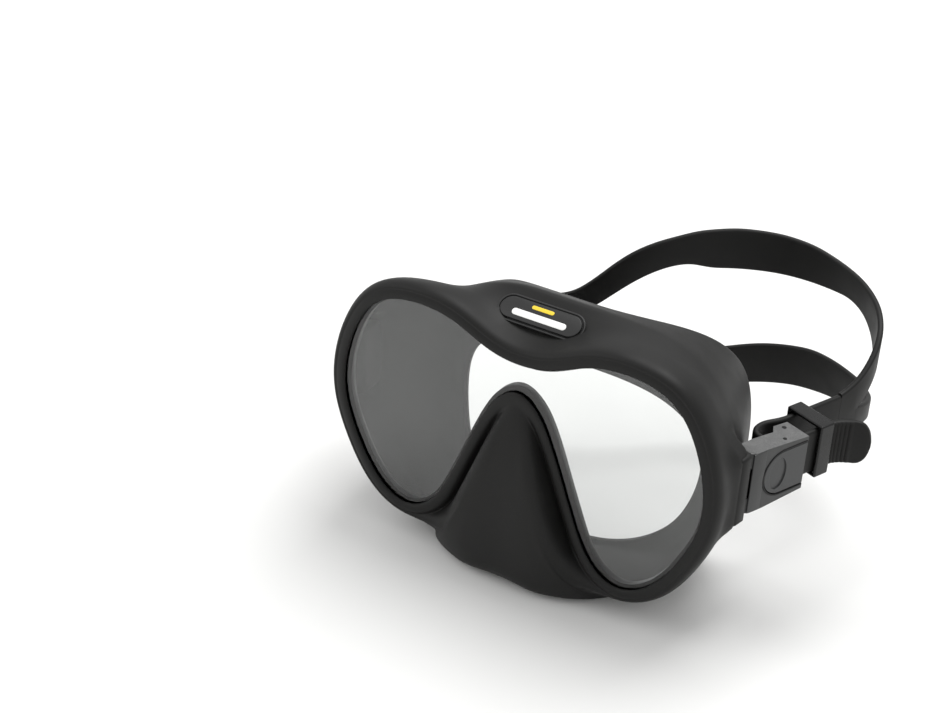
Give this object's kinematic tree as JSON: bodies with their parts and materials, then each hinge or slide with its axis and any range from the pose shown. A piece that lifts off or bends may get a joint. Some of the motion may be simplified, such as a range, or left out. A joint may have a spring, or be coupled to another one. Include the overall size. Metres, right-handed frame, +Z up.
{
  "type": "diving mask",
  "caption": "Low-volume single-lens diving mask with a soft nose pocket, moulded silicone skirt and a split strap on swivel buckles.",
  "frame": {"origin": "centre of the nose pocket's flat sole, under the lens front", "axes": "+X to the wearer's left, +Y back towards the face, +Z up; the lens front is the plane y = 0"},
  "size_m": [0.1948, 0.1518, 0.112],
  "materials": {
    "black_silicone": "fine matt silicone",
    "strap_silicone": "matt silicone",
    "badge_rubber": "satin rubber",
    "tempered_glass": "clear polished glass",
    "frame_plastic": "grey satin plastic",
    "buckle_plastic": "fine textured black plastic",
    "lever_plastic": "satin dark grey plastic",
    "roller_plastic": "polished black plastic",
    "keeper_plastic": "glossy black plastic",
    "stainless_steel": "ground stainless steel"
  },
  "bodies": {
    "root": {"skirt": "black_silicone", "lens": "tempered_glass", "lens_frame": "frame_plastic", "brow_badge": "badge_rubber", "strap_back": "strap_silicone", "ear_anchor_left": "buckle_plastic", "hinge_pin_left": "stainless_steel", "ear_anchor_right": "buckle_plastic", "hinge_pin_right": "stainless_steel"},
    "buckle_left": {"buckle_housing_left": "buckle_plastic", "lever_pin_left": "stainless_steel", "roller_pin_left": "stainless_steel", "strap_arm_left": "strap_silicone"},
    "lever_left": {"release_lever_left": "lever_plastic", "lever_spring_left": "stainless_steel"},
    "roller_left": {"strap_roller_left": "roller_plastic"},
    "keeper_left": {"strap_keeper_left": "keeper_plastic"},
    "buckle_right": {"buckle_housing_right": "buckle_plastic", "lever_pin_right": "stainless_steel", "roller_pin_right": "stainless_steel", "strap_arm_right": "strap_silicone"},
    "lever_right": {"release_lever_right": "lever_plastic", "lever_spring_right": "stainless_steel"},
    "roller_right": {"strap_roller_right": "roller_plastic"},
    "keeper_right": {"strap_keeper_right": "keeper_plastic"}
  },
  "joints": [
    {"name": "buckle_swivel_left", "type": "hinge", "parent": "root", "child": "buckle_left", "pos_m": [0.0804, 0.024, 0.064], "axis": [0, 0, -1], "range_deg": [-4, 8]},
    {"name": "lever_press_left", "type": "hinge", "parent": "buckle_left", "child": "lever_left", "pos_m": [0.08722, 0.03742, 0.064], "axis": [0, 0, -1], "range_deg": [0, 5], "stiffness_Nm_per_rad": 0.1, "springref_deg": -5.73},
    {"name": "roller_spin_left", "type": "hinge", "parent": "buckle_left", "child": "roller_left", "pos_m": [0.08381, 0.04473, 0.064], "axis": [0, 0, 1], "continuous": true},
    {"name": "keeper_slide_left", "type": "slide", "parent": "buckle_left", "child": "keeper_left", "axis": [0.3746, 0.9272, 0], "range_m": [-0.003, 0.002]},
    {"name": "buckle_swivel_right", "type": "hinge", "parent": "root", "child": "buckle_right", "pos_m": [-0.0804, 0.024, 0.064], "axis": [0, 0, 1], "range_deg": [0, 10]},
    {"name": "lever_press_right", "type": "hinge", "parent": "buckle_right", "child": "lever_right", "pos_m": [-0.08274, 0.03887, 0.064], "axis": [0, 0, 1], "range_deg": [0, 5], "stiffness_Nm_per_rad": 0.1, "springref_deg": -5.73},
    {"name": "roller_spin_right", "type": "hinge", "parent": "buckle_right", "child": "roller_right", "pos_m": [-0.07724, 0.04477, 0.064], "axis": [0, 0, 1], "continuous": true},
    {"name": "keeper_slide_right", "type": "slide", "parent": "buckle_right", "child": "keeper_right", "axis": [-0.0698, 0.9976, 0], "range_m": [-0.0008, 0.0015]}
  ]
}
